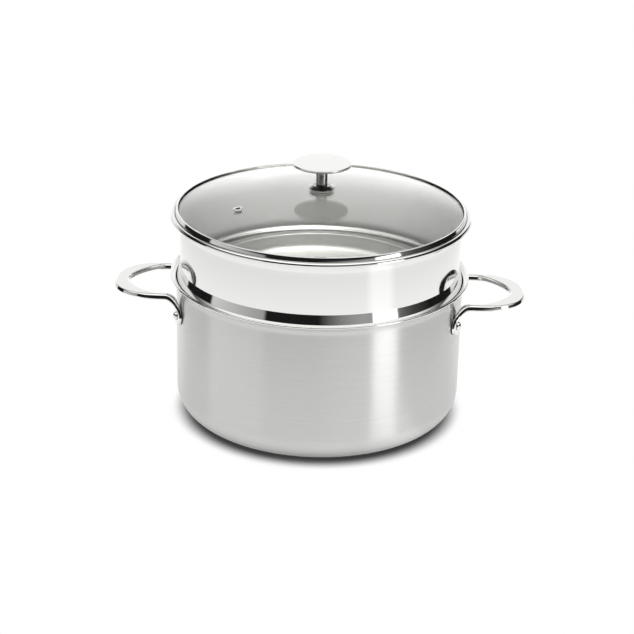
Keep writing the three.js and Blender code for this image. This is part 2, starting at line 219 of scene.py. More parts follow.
# Each panel: from and to in degrees to the right of the camera's side and how soft those ends are, from
# and to in degrees above the horizon and how soft those are, and how bright it is at each end.
ROOM_PANELS = [
    (-92, -42, 1.2, -90, 13, 1.5, 0.72, 0.36),
    (43, 63, 1.2, -90, 13, 1.5, 2.7, 2.7),
    (18, 78, 18.0, -10, 13, 1.5, 0.5, 0.1),
    (-220, -128, 1.5, -90, 2, 0.8, 0.85, 0.85),
    (-220, -155, 6.0, -90, 8, 10.0, 0.65, 0.65),
    (-220, -132, 12.0, 2, 22, 1.5, 1.05, 1.05),
    (-220, -150, 6.0, 22, 36, 1.5, 1.05, 1.05),
    (128, 220, 1.5, -90, 2, 0.8, 0.9, 0.9),
    (155, 220, 6.0, -90, 8, 10.0, 0.65, 0.65),
    (150, 220, 6.0, 2, 36, 1.5, 1.05, 1.05),
]


def build_world():
    """Brightness by direction: the panels near the horizon, and white from the ceiling's edge up.
    Mirrors see that. The camera and clear glass see plain white, and the rest is even light."""
    world = bpy.data.worlds.new("studio")
    world.use_nodes = True
    bpy.context.scene.world = world
    graph = Graph(world.node_tree)
    way = graph.node("ShaderNodeTexCoord")
    z = graph.node("ShaderNodeSeparateXYZ", None, {"Vector": way}, "Z")
    around = graph.bearing(way) - math.degrees(CAMERA_AZIMUTH)
    above = z.math("ARCSINE", z) * DEGREES

    room = DARK_SPACE
    for start, stop, soft, low, high, edge, first, last in ROOM_PANELS:
        panel = graph.between(around, start, stop, soft) * graph.between(above, low, high, edge)
        level = first if first == last else graph.ramp(around, start, stop) * (last - first) + first
        room = panel * level + room
    ceiling = graph.ramp(above, CEILING_STARTS, CEILING_FULL)
    behind = graph.ramp(around.math("ABSOLUTE", around), BEHIND_STARTS, BEHIND_FULL)
    seen = room * (1 - ceiling) + ceiling * (CEILING_LIGHT + behind * (CEILING_BEHIND - CEILING_LIGHT))

    path = graph.node("ShaderNodeLightPath", output="Is Camera Ray")
    through = path.also("Is Transmission Ray")
    mirrored = (path.also("Is Glossy Ray") + path.also("Glossy Depth") * through).clipped()
    plain = (path + through).clipped() * (1 - mirrored)
    even = 1 - (plain + mirrored).clipped()
    strength = plain + mirrored * seen + even * WORLD_LIGHT
    light = graph.node("ShaderNodeBackground", None, {"Color": grey(1.0), "Strength": strength})
    graph.node("ShaderNodeOutputWorld", None, {"Surface": light})
    return len(graph.tree.nodes)


print("world nodes", build_world())

# %% [markdown]
# ## Table and lamp
# The table is a white disc. A lit white floor would turn grey where the light falls off, so the camera
# sees an even white that only darkens close to what stands on it. Ambient occlusion measures how much
# open sky a spot has left, and a curve makes the soft shadow of it. In mirrors the table is partly the
# lit surface. There it also fades outwards and has a streak where the window shines on it.
# The ground round the table looks the same, but steel doesn't mirror it, so the table has an edge.
# One wide lamp stands above the front. Mirrors don't show it, because the room gives them their light.

# %% Table
TABLE_RADIUS = 0.8
TABLE_FACETS = 128
GROUND_RADIUS = 12.0
GROUND_DROP = 0.4 * MM
TABLE_MIRRORED_EVEN = 0.35
TABLE_FADE_START = 0.42
TABLE_FADE_END = 0.62
TABLE_FADE = 0.22
STREAK_FROM = 38.0
STREAK_TO = 56.0
STREAK_SOFT = 3.0
STREAK_LIGHT = 0.17
SHADOW_REACH = 30 * MM
SHADOW_SAMPLES = 16
SHADOW_DARK = 0.22
SHADOW_CLEAR = 0.615
SHADOW_CURVE = 1.4
SHADOW_DEEPEST = 0.045


def table_finish():
    """Even white times the open sky's share for the camera, and a mix of lit and even for mirrors."""
    material, graph = new_material("table")
    path = graph.node("ShaderNodeLightPath", output="Is Camera Ray")
    seen = path + path.also("Is Transmission Ray")
    mirrored = path.also("Is Glossy Ray")
    reach = {"Distance": SHADOW_REACH}
    open_sky = graph.node("ShaderNodeAmbientOcclusion", {"samples": SHADOW_SAMPLES}, reach, "AO")
    light = graph.ramp(open_sky, SHADOW_DARK, SHADOW_CLEAR)
    clear = light.math("POWER", light, SHADOW_CURVE) * (1 - SHADOW_DEEPEST) + SHADOW_DEEPEST
    place = graph.node("ShaderNodeTexCoord", output="Object")
    out = graph.node("ShaderNodeVectorMath", {"operation": "LENGTH"}, {0: place}, "Value")
    fade = graph.ramp(out, TABLE_FADE_START, TABLE_FADE_END) * mirrored
    streak = graph.between(graph.bearing(place), STREAK_FROM, STREAK_TO, STREAK_SOFT) * mirrored
    level = 1 - fade * TABLE_FADE + streak * STREAK_LIGHT
    lit = graph.node("ShaderNodeBsdfDiffuse", None, {"Color": graph.shade(light * level)})
    white = graph.shade((1 - (1 - clear) * seen) * level)
    even = graph.node("ShaderNodeEmission", None, {"Color": white})
    share = (seen + mirrored * TABLE_MIRRORED_EVEN).clipped()
    return close(material, graph, graph.node("ShaderNodeMixShader", None, {0: share, 1: lit, 2: even}))


def round_sheet(name, radius, height, material):
    """A flat disc that isn't part of the object."""
    turns = np.linspace(0, 2 * math.pi, TABLE_FACETS, endpoint=False)
    rim = np.column_stack([radius * np.cos(turns), radius * np.sin(turns), np.full(TABLE_FACETS, height)])
    mesh = bpy.data.meshes.new(name)
    mesh.from_pydata(rim.tolist(), [], [tuple(range(TABLE_FACETS))])
    mesh.materials.append(material)
    sheet = bpy.data.objects.new(name, mesh)
    bpy.context.collection.objects.link(sheet)
    return sheet


def build_table():
    """The table, and the ground that only the camera and clear glass see."""
    material = table_finish()
    table = round_sheet("table", TABLE_RADIUS, 0.0, material)
    ground = round_sheet("ground", GROUND_RADIUS, -GROUND_DROP, material)
    ground.visible_glossy = False
    return table


print("stage", build_table().name)

# %% Lamp
LAMP_SIZE = 1.6
LAMP_POWER = 14.0
LAMP_PLACE = Vector((0.35, -0.5, 1.9))


def build_lamp():
    """A wide square lamp that aims at the pot and isn't seen in reflections."""
    lamp = bpy.data.objects.new("key", bpy.data.lights.new("key", "AREA"))
    bpy.context.collection.objects.link(lamp)
    lamp.data.size = LAMP_SIZE
    lamp.data.energy = LAMP_POWER
    lamp.location = LAMP_PLACE
    lamp.rotation_euler = (-LAMP_PLACE).to_track_quat("-Z", "Y").to_euler()
    lamp.visible_glossy = False
    lamp.visible_camera = False
    return lamp


print("lamp", build_lamp().name)

# %% [markdown]
# ## Brushed and satin steel
# Brushed steel is scratched round the pot, so it blurs a reflection up and down but hardly sideways.
# That is anisotropy. The scratches could be a picture wrapped round the pot, but noise that is
# stretched round it has no seam and no end. Satin steel has finer, fainter lines and is evenly dull.
# It lines the pot and the steamer, and the tray's is a little duller.

# %% Steel with lines in it
LAY = "lay"
LINES_ALONG = 24.0
LINES_FINE = 2600.0
LINES_COARSE = 520.0
LINES_DETAIL = 2.0
LINES_TURN = 0.25
BRUSH_FINE_SHARE = 0.6
BRUSH_BUMP = 0.35
BRUSH_DEPTH = 0.1 * MM
BRUSH_COLOUR = 0.655
BRUSH_COARSE_TINT = 0.08
BRUSH_FINE_TINT = 0.05
BRUSH_ROUGHNESS = 0.23
BRUSH_SPREAD = 0.16
SATIN_SPREAD = 0.12
SATIN_PULL = 0.5


def principled(material, graph, sockets):
    """Closes a material with one Principled shader."""
    return close(material, graph, graph.node("ShaderNodeBsdfPrincipled", None, sockets))


def lines_round(graph, pitch):
    """Noise on (x, y, way along the outline): long round the axis, and fine across it."""
    place = graph.node("ShaderNodeTexCoord", output="Object")
    x = graph.node("ShaderNodeSeparateXYZ", None, {"Vector": place})
    lay = graph.node("ShaderNodeUVMap", {"uv_map": LAY})
    way = graph.node("ShaderNodeSeparateXYZ", None, {"Vector": lay}, "Y")
    spread = {"X": x * LINES_ALONG, "Y": x.also("Y") * LINES_ALONG, "Z": way * pitch}
    vector = graph.node("ShaderNodeCombineXYZ", None, spread)
    return graph.node("ShaderNodeTexNoise", None, {"Vector": vector, "Scale": 1.0, "Detail": LINES_DETAIL})


def brushed_steel():
    """Coarse and fine lines together colour the steel, roughen it and bump it."""
    material, graph = new_material("brushed_steel")
    fine = lines_round(graph, LINES_FINE)
    coarse = lines_round(graph, LINES_COARSE)
    lines = fine * BRUSH_FINE_SHARE + coarse * (1 - BRUSH_FINE_SHARE)
    level = coarse * BRUSH_COARSE_TINT + fine * BRUSH_FINE_TINT + BRUSH_COLOUR
    relief = {"Strength": BRUSH_BUMP, "Distance": BRUSH_DEPTH, "Height": lines}
    sockets = {
        "Base Color": graph.shade(level, STEEL_WARMTH),
        "Metallic": 1.0,
        "Roughness": lines * BRUSH_SPREAD + BRUSH_ROUGHNESS,
        "Anisotropic": 1.0,
        "Anisotropic Rotation": LINES_TURN,
        "Normal": graph.node("ShaderNodeBump", None, relief),
    }
    return principled(material, graph, sockets)


def satin_steel(name, colour, roughness):
    """Fine lines that only roughen the steel."""
    material, graph = new_material(name)
    sockets = {
        "Base Color": colour,
        "Metallic": 1.0,
        "Roughness": lines_round(graph, LINES_FINE) * SATIN_SPREAD + roughness,
        "Anisotropic": SATIN_PULL,
        "Anisotropic Rotation": LINES_TURN,
    }
    return principled(material, graph, sockets)


FINISH = {
    "brushed_steel": brushed_steel(),
    "satin_steel": satin_steel("satin_steel", grey(0.85), roughness=0.28),
    "tray_steel": satin_steel("tray_steel", steel(0.82), roughness=0.34),
}
print("finishes", list(FINISH))

# %% [markdown]
# ## Polished, grained and clear finishes
# Polished steel is nearly a mirror, with faint smears. The knob, the gaskets and the core of the base
# have a grain too fine to see as lines. A flat colour would do from afar, but not close up, so plain
# noise gives the grain. The knob's stem and flange are a darker steel: painted shade, which stands in
# for the dark that they mirror. The underside of the knob's disc is nearly black, also painted shade,
# which its mirror image in the glass shows. Glass lets the lamp's light through on shadow rays, or the
# steamer's inside would stay dark.

# %% Polish, grain and glass
POLISH_COLOUR = 0.79
POLISH_ROUGHNESS = 0.035
SMEAR_SCALE = 38.0
SMEAR_DETAIL = 3.0
SMEAR_SPREAD = 0.05
GRAIN_SCALE = 900.0
GRAIN_DETAIL = 2.0
GRAIN_TINT = 0.12
GRAIN_SPREAD = 0.1
GLASS_COLOUR = 0.995
GLASS_IOR = 1.5
GLASS_SHADOW = 0.94


def noise(graph, scale, detail):
    """Noise on Object coordinates."""
    place = graph.node("ShaderNodeTexCoord", output="Object")
    return graph.node("ShaderNodeTexNoise", None, {"Vector": place, "Scale": scale, "Detail": detail})


def polished_steel():
    """Steel that is close to a mirror, with faint smears."""
    material, graph = new_material("polished_steel")
    sockets = {
        "Base Color": steel(POLISH_COLOUR),
        "Metallic": 1.0,
        "Roughness": noise(graph, SMEAR_SCALE, SMEAR_DETAIL) * SMEAR_SPREAD + POLISH_ROUGHNESS,
    }
    return principled(material, graph, sockets)


def grained(name, colour, metallic, roughness):
    """A fine even grain, which shows a little in the colour and the roughness."""
    material, graph = new_material(name)
    grain = noise(graph, GRAIN_SCALE, GRAIN_DETAIL)
    level = grain * (colour * GRAIN_TINT) + colour * (1 - GRAIN_TINT / 2)
    sockets = {
        "Base Color": graph.shade(level, STEEL_WARMTH),
        "Metallic": metallic,
        "Roughness": grain * GRAIN_SPREAD + (roughness - GRAIN_SPREAD / 2),
    }
    return principled(material, graph, sockets)


def clear_glass():
    """Glass for what is seen, and nothing at all for shadow rays."""
    material, graph = new_material("tempered_glass")
    sockets = {
        "Base Color": steel(GLASS_COLOUR),
        "Roughness": 0.0,
        "IOR": GLASS_IOR,
        "Transmission Weight": 1.0,
    }
    glass = graph.node("ShaderNodeBsdfPrincipled", None, sockets)
    clear = graph.node("ShaderNodeBsdfTransparent", None, {"Color": grey(GLASS_SHADOW)})
    shadow = graph.node("ShaderNodeLightPath", output="Is Shadow Ray")
    return close(material, graph, graph.node("ShaderNodeMixShader", None, {0: shadow, 1: glass, 2: clear}))


FINISH["polished_steel"] = polished_steel()
FINISH["tempered_glass"] = clear_glass()
for name, colour, metallic, roughness in (
    # Darkened steel for the knob's stem and flange: painted shade.
    ("knob_steel_painted_shade", 0.42, 1.0, 0.2),
    ("disc_steel", 0.9, 1.0, 0.34),
    # Nearly black steel for the underside of the knob's disc: painted shade.
    ("disc_underside_painted_shade", 0.1, 1.0, 0.45),
    ("silicone", 0.72, 0.0, 0.5),
    ("aluminium_core", 0.8, 1.0, 0.4),
):
    FINISH[name] = grained(name, colour, metallic, roughness)
print("finishes", list(FINISH))

# %% [markdown]
# ## Turned pieces
# An outline is a list of points of radius and height. It climbs on the outside, so that the surface
# faces outwards, and it may be cut in runs that have a finish each. Blender's Screw modifier could turn
# it, but a surface of two parameters, the place along the outline and the angle round the axis, also
# gives each face its finish and its UVs.

# %% Outlines
ARC_STEP = 4.0
STRAIGHT_STEP = 4 * MM
TINY = 1e-9


def arc(centre, radius, start, stop):
    """Points at a radius from a centre, between two angles in degrees."""
    steps = max(2, math.ceil(abs(stop - start) / ARC_STEP))
    angles = np.radians(np.linspace(start, stop, steps + 1))
    return np.column_stack([centre[0] + radius * np.cos(angles), centre[1] + radius * np.sin(angles)])


def joined(runs):
    """One list of points from runs of (finish number, points), with long straights cut up.
    It also gives the finish of the stretch that ends at each point."""
    points = np.vstack([np.asarray(run, dtype=float) for number, run in runs])
    numbers = np.concatenate([np.full(len(run), number) for number, run in runs])
    moved = np.linalg.norm(np.diff(points, axis=0), axis=1) > TINY
    keep = np.concatenate([[True], moved])
    points = points[keep]
    numbers = numbers[keep]
    gaps = np.diff(points, axis=0)
    cuts = np.maximum(1, np.ceil(np.linalg.norm(gaps, axis=1) / STRAIGHT_STEP)).astype(int)
    stretch = np.repeat(np.arange(len(gaps)), cuts)
    step = 1 + np.arange(len(stretch)) - np.repeat(np.cumsum(cuts) - cuts, cuts)
    share = (step / cuts[stretch])[:, None]
    cut = points[stretch] + gaps[stretch] * share
    return np.vstack([points[:1], cut]), np.concatenate([numbers[:1], numbers[stretch + 1]])


print("a quarter turn has", len(arc((0, 0), 1, 0, 90)), "points")

# %% Surfaces that close round
FACETS = 288
SMALL_FACETS = 96
SHARP_ANGLE = math.radians(11)
WELD = 1e-7


def wrapped(rows, count):
    """Quads between rows of points that close on themselves, with each quad's row and column."""
    row, column = np.meshgrid(np.arange(rows - 1), np.arange(count), indexing="ij")
    after = (column + 1) % count
    here = row * count
    above = here + count
    quads = np.stack([here + column, here + after, above + after, above + column], axis=-1)
    return quads.reshape(-1, 4), row, column


def corner_uvs(left, right, low, high):
    """The UVs of each quad's four corners, in the order of its points."""
    return np.stack([left, low, right, low, right, high, left, high], axis=-1).reshape(-1)


def mesh_from(name, grid, quads, uv, numbers, place=None):
    """A smooth mesh from points, quads, UVs and finish numbers. Points that coincide are welded."""
    mesh = bpy.data.meshes.new(name)
    mesh.from_pydata(grid.tolist(), [], quads.tolist())
    mesh.uv_layers.new(name=LAY).data.foreach_set("uv", np.ascontiguousarray(uv, dtype=np.float32))
    mesh.polygons.foreach_set("material_index", np.ascontiguousarray(numbers, dtype=np.int32))
    work = bmesh.new()
    work.from_mesh(mesh)
    bmesh.ops.remove_doubles(work, verts=work.verts, dist=WELD)
    bmesh.ops.recalc_face_normals(work, faces=work.faces)
    work.to_mesh(mesh)
    work.free()
    if place is not None:
        mesh.transform(place)
    mesh.shade_smooth()
    mesh.set_sharp_from_angle(angle=SHARP_ANGLE)
    return mesh


def turned(name, runs, facets=FACETS, place=None):
    """Turns an outline about Z: the point (r, h) at angle a goes to (r cos a, r sin a, h).
    An outline that doesn't start on the axis closes on itself. UV is the turn and the way along."""
    first = runs[0][1][0]
    if first[0] > TINY:
        runs = runs + [(runs[-1][0], [first])]
    points, numbers = joined(runs)
    rows = len(points)
    angles = np.linspace(0, 2 * math.pi, facets, endpoint=False)
    radius = points[:, 0, None]
    height = np.broadcast_to(points[:, 1, None], (rows, facets))
    grid = np.stack([radius * np.cos(angles), radius * np.sin(angles), height], axis=-1).reshape(-1, 3)
    quads, row, column = wrapped(rows, facets)
    way = np.concatenate([[0], np.cumsum(np.linalg.norm(np.diff(points, axis=0), axis=1))])
    uv = corner_uvs(column / facets, (column + 1) / facets, way[row], way[row + 1])
    return mesh_from(name, grid, quads, uv, np.repeat(numbers[1:], facets), place)


def piece(mesh, body, node, finishes):
    """Makes the mesh a piece that stands for a CAD node and moves with that node's body."""
    made = bpy.data.objects.new(mesh.name, mesh)
    bpy.context.collection.objects.link(made)
    for finish in finishes:
        mesh.materials.append(FINISH[finish])
    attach(made, body)
    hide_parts(node)
    print(made.name, "stands for", node, "with", len(mesh.polygons), "faces")
    return made


print("a full turn has", FACETS, "facets, or", SMALL_FACETS, "on small pieces")

# %% [markdown]
# ## Mouths
# The pot and the steamer are both drawn from sheet and end in a mouth that rolls outwards. The sheet
# bends about a centre that lies outside its wall, and its cut edge is rounded over. Solidify could give
# a single line its thickness, but then the edge would be square.

# %% The rolled-out mouth
CURL_STOP = -25


def spot(centre, radius, angle):
    """The point at a radius from a centre and an angle in degrees."""
    turn = math.radians(angle)
    return centre[0] + radius * math.cos(turn), centre[1] + radius * math.sin(turn)


def mouth(inner, sheet, radius, sweep, rim, curl=0.0):
    """Outside, edge and inside of a mouth, from the wall up and back. The inside has the larger arc.
    Where there is a curl, the sheet goes on round a smaller circle that touches the flare."""
    stop = 180 - sweep
    rise = (radius - curl) * math.sin(math.radians(stop)) + curl
    centre = (inner + radius, rim - rise)
    outside = arc(centre, radius - sheet, 180, stop)
    inside = arc(centre, radius, stop, 180)
    if not curl:
        return outside, arc(spot(centre, radius - sheet / 2, stop), sheet / 2, stop - 180, stop), inside
    small = spot(centre, radius - curl, stop)
    under = arc(small, curl - sheet, stop, CURL_STOP)
    edge = arc(spot(small, curl - sheet / 2, CURL_STOP), sheet / 2, CURL_STOP - 180, CURL_STOP)
    return outside, np.vstack([under, edge, arc(small, curl, CURL_STOP, stop)]), inside


print("a curl ends at", CURL_STOP, "degrees")

# %% [markdown]
# ## Pot
# A press draws the real pot from one sheet. A tall cup with a bevel would come close, but the mouth and
# the recess under the floor would be separate work, so one outline goes right round the sheet. Its runs
# are the brushed outside with the recess that takes the base, the polished mouth, and the satin inside.

# %% Pot body
POT_INNER = 120 * MM
POT_WALL = 2 * MM
POT_OUTER = POT_INNER + POT_WALL
POT_CORNER = 24 * MM
POT_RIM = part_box("pot_body")[1][2]
POT_FLARE = 12 * MM
POT_SWEEP = 58
CLEARANCE = 0.3 * MM


def pot_mesh():
    """The outline goes from the axis under the floor, out, up, over the mouth and back inside."""
    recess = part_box("base_cap")[1][0] + CLEARANCE
    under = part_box("base_heat_core")[1][2] + CLEARANCE
    floor = under + POT_WALL
    corner = (POT_OUTER - POT_CORNER, POT_CORNER)
    bend = POT_CORNER - POT_WALL
    low = -math.degrees(math.asin((POT_CORNER - floor) / bend))
    outside, edge, inside = mouth(POT_INNER, POT_WALL, POT_FLARE, POT_SWEEP, POT_RIM)
    bottom = [(0, under), (recess, under), (recess, 0)]
    body = np.concatenate([arc(corner, POT_CORNER, -90, 0), outside[:1]])
    well = np.concatenate([inside[-1:], arc(corner, bend, 0, low), [(0, floor)]])
    runs = [(0, bottom), (0, body), (0, outside), (1, edge), (1, inside), (2, well)]
    return turned("pot_shell", runs)


piece(pot_mesh(), "pot", "pot_body", ["brushed_steel", "polished_steel", "satin_steel"])

# %% [markdown]
# ## Base
# A thick aluminium disc spreads the heat, and a thin steel disc closes it in. Bevelled cylinders would
# do, but the same turning gives them UVs for their lines. Their sizes come straight from the frame.

# %% Discs
CORE_EDGE = 0.6 * MM
CAP_EDGE = 0.25 * MM


def plate(name, node, edge, bore=0.0, facets=FACETS, numbers=(0, 0, 0)):
    """A flat disc, or a ring, with the size of a CAD node and a rounded rim. The numbers are the
    finishes of its underside, its upper edge and its top."""
    low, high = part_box(node)
    radius = high[0]
    lower = arc((radius - edge, low[2] + edge), edge, -90, 0)
    upper = arc((radius - edge, high[2] - edge), edge, 0, 90)
    below, rim, above = numbers
    runs = [(below, [(bore, low[2])]), (below, lower), (rim, upper), (above, [(bore, high[2])])]
    return turned(name, runs, facets)


core = plate("heat_core", "base_heat_core", CORE_EDGE)
piece(core, "pot", "base_heat_core", ["aluminium_core"])
cap = plate("base_plate", "base_cap", CAP_EDGE)
piece(cap, "pot", "base_cap", ["brushed_steel"])

# %% [markdown]
# ## Handles
# One bar makes a handle: up a foot that hugs the wall, round a bend, out along a leg, round the flat
# loop and back. A swept curve couldn't change its section so much, so each section is written as a
# centre, half a width, half a depth and a squareness, and the bar is the surface through them.

# %% Handle sizes
HANDLE_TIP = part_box("handle_right")[1][0]
HANDLE_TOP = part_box("handle_right")[1][2]
LOOP_HALF = 39 * MM
LOOP_OUTER_POWER = 2.4
LOOP_INNER_POWER = 1.45
GRIP_WIDTH = 11.4 * MM
PLATE_THICKNESS = 4 * MM
PLATE_SQUARENESS = 5.0
LEG_WIDTH = 7 * MM
LEG_THICKNESS = 5 * MM
LEG_SQUARENESS = 3.6
LEG_STRAIGHT = 7 * MM
BEND_OUTER = 12 * MM
FOOT_HALF = 8 * MM
FOOT_THICKNESS = 3.2 * MM
FOOT_INNER = POT_OUTER + CLEARANCE
RIVET_ANGLE = math.radians(18.75)
RIVET_BELOW_BEND = 6 * MM


def wall_x(y):
    """How far out the back of a foot is at a distance across the pot."""
    return np.sqrt(FOOT_INNER ** 2 - y ** 2)


LEG_Y = LOOP_HALF - LEG_WIDTH / 2
BEND_X = wall_x(LEG_Y) + BEND_OUTER
BEND_Z = HANDLE_TOP - BEND_OUTER
LEG_START = BEND_X + LEG_STRAIGHT
RIVET_HEIGHT = BEND_Z - RIVET_BELOW_BEND
print("a leg starts", round(LEG_START / MM, 1), "mm out")
print("its rivet is", round(RIVET_HEIGHT / MM, 1), "mm up")

# %% Grip and leg
LOOP_STEPS = 60
LEG_STEPS = 8
THICKENS_BEFORE_LEG = 11 * MM
THICKENS_OVER = 5 * MM


def ease(value):
    """A smooth climb from 0 to 1."""
    held = np.clip(value, 0, 1)
    return held * held * (3 - 2 * held)


def blend(first, last, share):
    """The value at a share of the way from first to last."""
    return first + (last - first) * share


def loop_sections():
    """The flat loop from its tip to its leg. Each section spans two superellipses at one angle."""
    angle = np.radians(np.linspace(0, 90, LOOP_STEPS + 1))[:, None]

    def curve(end, half, power):
        along = blend(LEG_START, end, np.cos(angle).clip(0) ** (2 / power))
        return np.hstack([along, half * np.sin(angle) ** (2 / power)])

    outer = curve(HANDLE_TIP, LOOP_HALF, LOOP_OUTER_POWER)
    inner = curve(HANDLE_TIP - GRIP_WIDTH, LOOP_HALF - LEG_WIDTH, LOOP_INNER_POWER)
    return (outer + inner) / 2, (outer - inner) / 2


def flat_sections():
    """The grip and the leg, level on top. The plate thickens before it becomes the leg."""
    middle, width = loop_sections()
    leg = np.linspace(LEG_START, BEND_X, LEG_STEPS + 1)[1:]
    middle = np.vstack([middle, np.column_stack([leg, np.full(LEG_STEPS, LEG_Y)])])
    width = np.vstack([width, np.tile([0, LEG_WIDTH / 2], (LEG_STEPS, 1))])
    thicken = ease((LEG_START + THICKENS_BEFORE_LEG - middle[:, 0]) / THICKENS_OVER)
    thick = blend(PLATE_THICKNESS, LEG_THICKNESS, thicken)
    none = np.zeros(len(middle))
    centre = np.column_stack([middle, HANDLE_TOP - thick / 2])
    wide = np.column_stack([width, none])
    deep = np.column_stack([none, none, thick / 2])
    return centre, wide, deep, blend(PLATE_SQUARENESS, LEG_SQUARENESS, thicken), none


print("grip and leg have", len(flat_sections()[0]), "sections")

# %% Bend and foot
BEND_STEPS = 20
FOOT_STEPS = 32
WIDENS_AT = 2 * MM
WIDENS_OVER = 20 * MM
THINS_AT = 11 * MM
THINS_OVER = 8 * MM
HUGS_AT = 4 * MM
HUGS_OVER = 11 * MM


def foot_sections():
    """The bend is a quarter circle, and the foot goes straight down to a round end, where the last
    section closes in a point. On the way the bar widens, thins and takes the wall's curve."""
    turn = np.linspace(0, 1, BEND_STEPS + 1)[1:]
    drop = np.sin(np.linspace(0, math.pi / 2, FOOT_STEPS + 1))[1:]
    bend_length = (BEND_OUTER - LEG_THICKNESS / 2) * math.pi / 2
    fall = BEND_Z - (RIVET_HEIGHT - FOOT_HALF)
    way = np.concatenate([turn * bend_length, bend_length + drop * fall])
    angle = np.concatenate([math.pi / 2 + turn * math.pi / 2, np.full(FOOT_STEPS, math.pi)])
    fallen = np.concatenate([np.zeros(BEND_STEPS), drop * fall])
    widen = ease((way - WIDENS_AT) / WIDENS_OVER)
    thin = ease((way - THINS_AT) / THINS_OVER)
    under = np.clip(RIVET_HEIGHT - (BEND_Z - fallen), 0, FOOT_HALF)
    half = np.minimum(blend(LEG_WIDTH / 2, FOOT_HALF, widen), np.sqrt(FOOT_HALF ** 2 - under ** 2))
    depth = blend(LEG_THICKNESS, FOOT_THICKNESS, thin)
    reach = BEND_OUTER - depth / 2
    y = blend(LEG_Y, FOOT_INNER * math.sin(RIVET_ANGLE), widen)
    x = BEND_X + reach * np.cos(angle) + wall_x(y) - wall_x(LEG_Y)
    z = BEND_Z + reach * np.sin(angle) - fallen
    none = np.zeros(len(way))
    wide = np.column_stack([none, half, none])
    deep = np.column_stack([np.cos(angle), none, np.sin(angle)]) * depth[:, None] / 2
    deep[-1] = 0
    square = blend(LEG_SQUARENESS, PLATE_SQUARENESS, thin)
    return np.column_stack([x, y, z]), wide, deep, square, ease((way - HUGS_AT) / HUGS_OVER)


print("bend and foot have", len(foot_sections()[0]), "sections")

# %% The bar through its sections
SECTION_POINTS = 40
SIDE_LEAN = math.tan(math.radians(17))
SIDES = {"right": 0.0, "left": math.pi}


def half_handle():
    """Half a handle on +X, from the middle of its grip to the end of its +Y foot. A section is a
    superellipse whose sides lean in towards the top, and the foot's sections bend with the wall."""
    parts = [np.concatenate(pair) for pair in zip(flat_sections(), foot_sections())]
    centre, wide, deep, square, hug = parts
    angle = np.linspace(0, 2 * math.pi, SECTION_POINTS, endpoint=False)
    cos = np.cos(angle)
    sin = np.sin(angle)
    power = 2 / square[:, None]
    up = np.sign(sin) * np.abs(sin) ** power
    slope = np.linalg.norm(deep, axis=1) / (np.linalg.norm(wide, axis=1) + TINY)
    lean = (1 - hug) * SIDE_LEAN * slope
    across = np.sign(cos) * np.abs(cos) ** power * (1 - lean[:, None] * up)
    points = centre[:, None] + across[..., None] * wide[:, None] + up[..., None] * deep[:, None]
    points[..., 0] += hug[:, None] * (wall_x(points[..., 1]) - wall_x(centre[:, None, 1]))
    return points


def handle_mesh(name, turn):
    """Both halves of the bar as one tube, turned about the pot's axis. UV is round and along."""
    half = half_handle()
    other = half[:0:-1] * np.array([1, -1, 1])
    points = np.concatenate([other, half])
    rows, count = points.shape[:2]
    quads, row, column = wrapped(rows, count)
    uv = corner_uvs(column / count, (column + 1) / count, row / rows, (row + 1) / rows)
    spin = Matrix.Rotation(turn, 4, "Z")
    return mesh_from(name, points.reshape(-1, 3), quads, uv, np.zeros(len(quads)), spin)


for side, turn in SIDES.items():
    mesh = handle_mesh(f"loop_handle_{side}", turn)
    piece(mesh, "pot", f"handle_{side}", ["polished_steel"])

# %% [markdown]
# ## Rivets
# A rivet is turned too, but about a radius of the pot: a domed head outside, a shank, and a flat head
# inside. The outline is made on the Z axis and then laid over, which is easier to read than turning it
# about a line in space.

# %% Rivets
RIVET_SHANK = 2.2 * MM
RIVET_HEAD = 3.7 * MM
RIVET_HEAD_HEIGHT = 2.6 * MM
RIVET_INNER_HEAD = 4.5 * MM
RIVET_INNER_HEIGHT = 1.2 * MM
RIVET_INNER_GAP = 0.5 * MM


def rivet_mesh(name, angle):
    """The dome is a quarter of an ellipse turned round."""
    seat = POT_INNER - RIVET_INNER_GAP
    end = seat - RIVET_INNER_HEIGHT
    head = FOOT_INNER + FOOT_THICKNESS
    dome = arc((0, 0), 1, 0, 90) * [RIVET_HEAD, RIVET_HEAD_HEIGHT] + [0, head]
    dome[-1, 0] = 0
    inner = [(0, end), (RIVET_INNER_HEAD, end), (RIVET_INNER_HEAD, seat)]
    shank = [(RIVET_SHANK, seat), (RIVET_SHANK, head)]
    lay = Matrix.Translation((0, 0, RIVET_HEIGHT)) @ Matrix.Rotation(math.pi / 2, 4, "Y")
    place = Matrix.Rotation(angle, 4, "Z") @ lay
    return turned(name, [(0, inner), (0, shank), (0, dome)], SMALL_FACETS, place)


for side, turn in SIDES.items():
    for end, sign in (("front", -1), ("rear", 1)):
        facing = sign if side == "right" else -sign
        mesh = rivet_mesh(f"foot_rivet_{side}_{end}", turn + facing * RIVET_ANGLE)
        piece(mesh, "pot", f"rivet_{side}_{end}", ["polished_steel"])

# %% [markdown]
# ## Steamer
# The wall ends in the same kind of mouth as the pot, but its edge curls on round a smaller circle. Below,
# a short skirt slopes out and sits in the pot's flare. Its slope is what makes it look dark: it mirrors
# the dark part of the room, where the upright wall mirrors the white table. So it is shaped, not
# painted, and it changes with the view as the real one does.

# %% Steamer wall
STEAMER_OUTER = 119 * MM
STEAMER_SHEET = 1 * MM
STEAMER_INNER = STEAMER_OUTER - STEAMER_SHEET
STEAMER_FLARE = 14 * MM
STEAMER_SWEEP = 52.6
STEAMER_CURL = 2.3 * MM
STEAMER_RIM_RISE = 0.2 * MM
SKIRT_OUTER = 121.8 * MM
SKIRT_HEIGHT = 10.8 * MM
SKIRT_FLAT_STOP = 0.6 * MM
SKIRT_EDGE_IN = 0.1 * MM
SKIRT_EDGE_UP = 0.4 * MM
LEDGE_BORE = 97.3 * MM
LEDGE_FILLET = 3 * MM


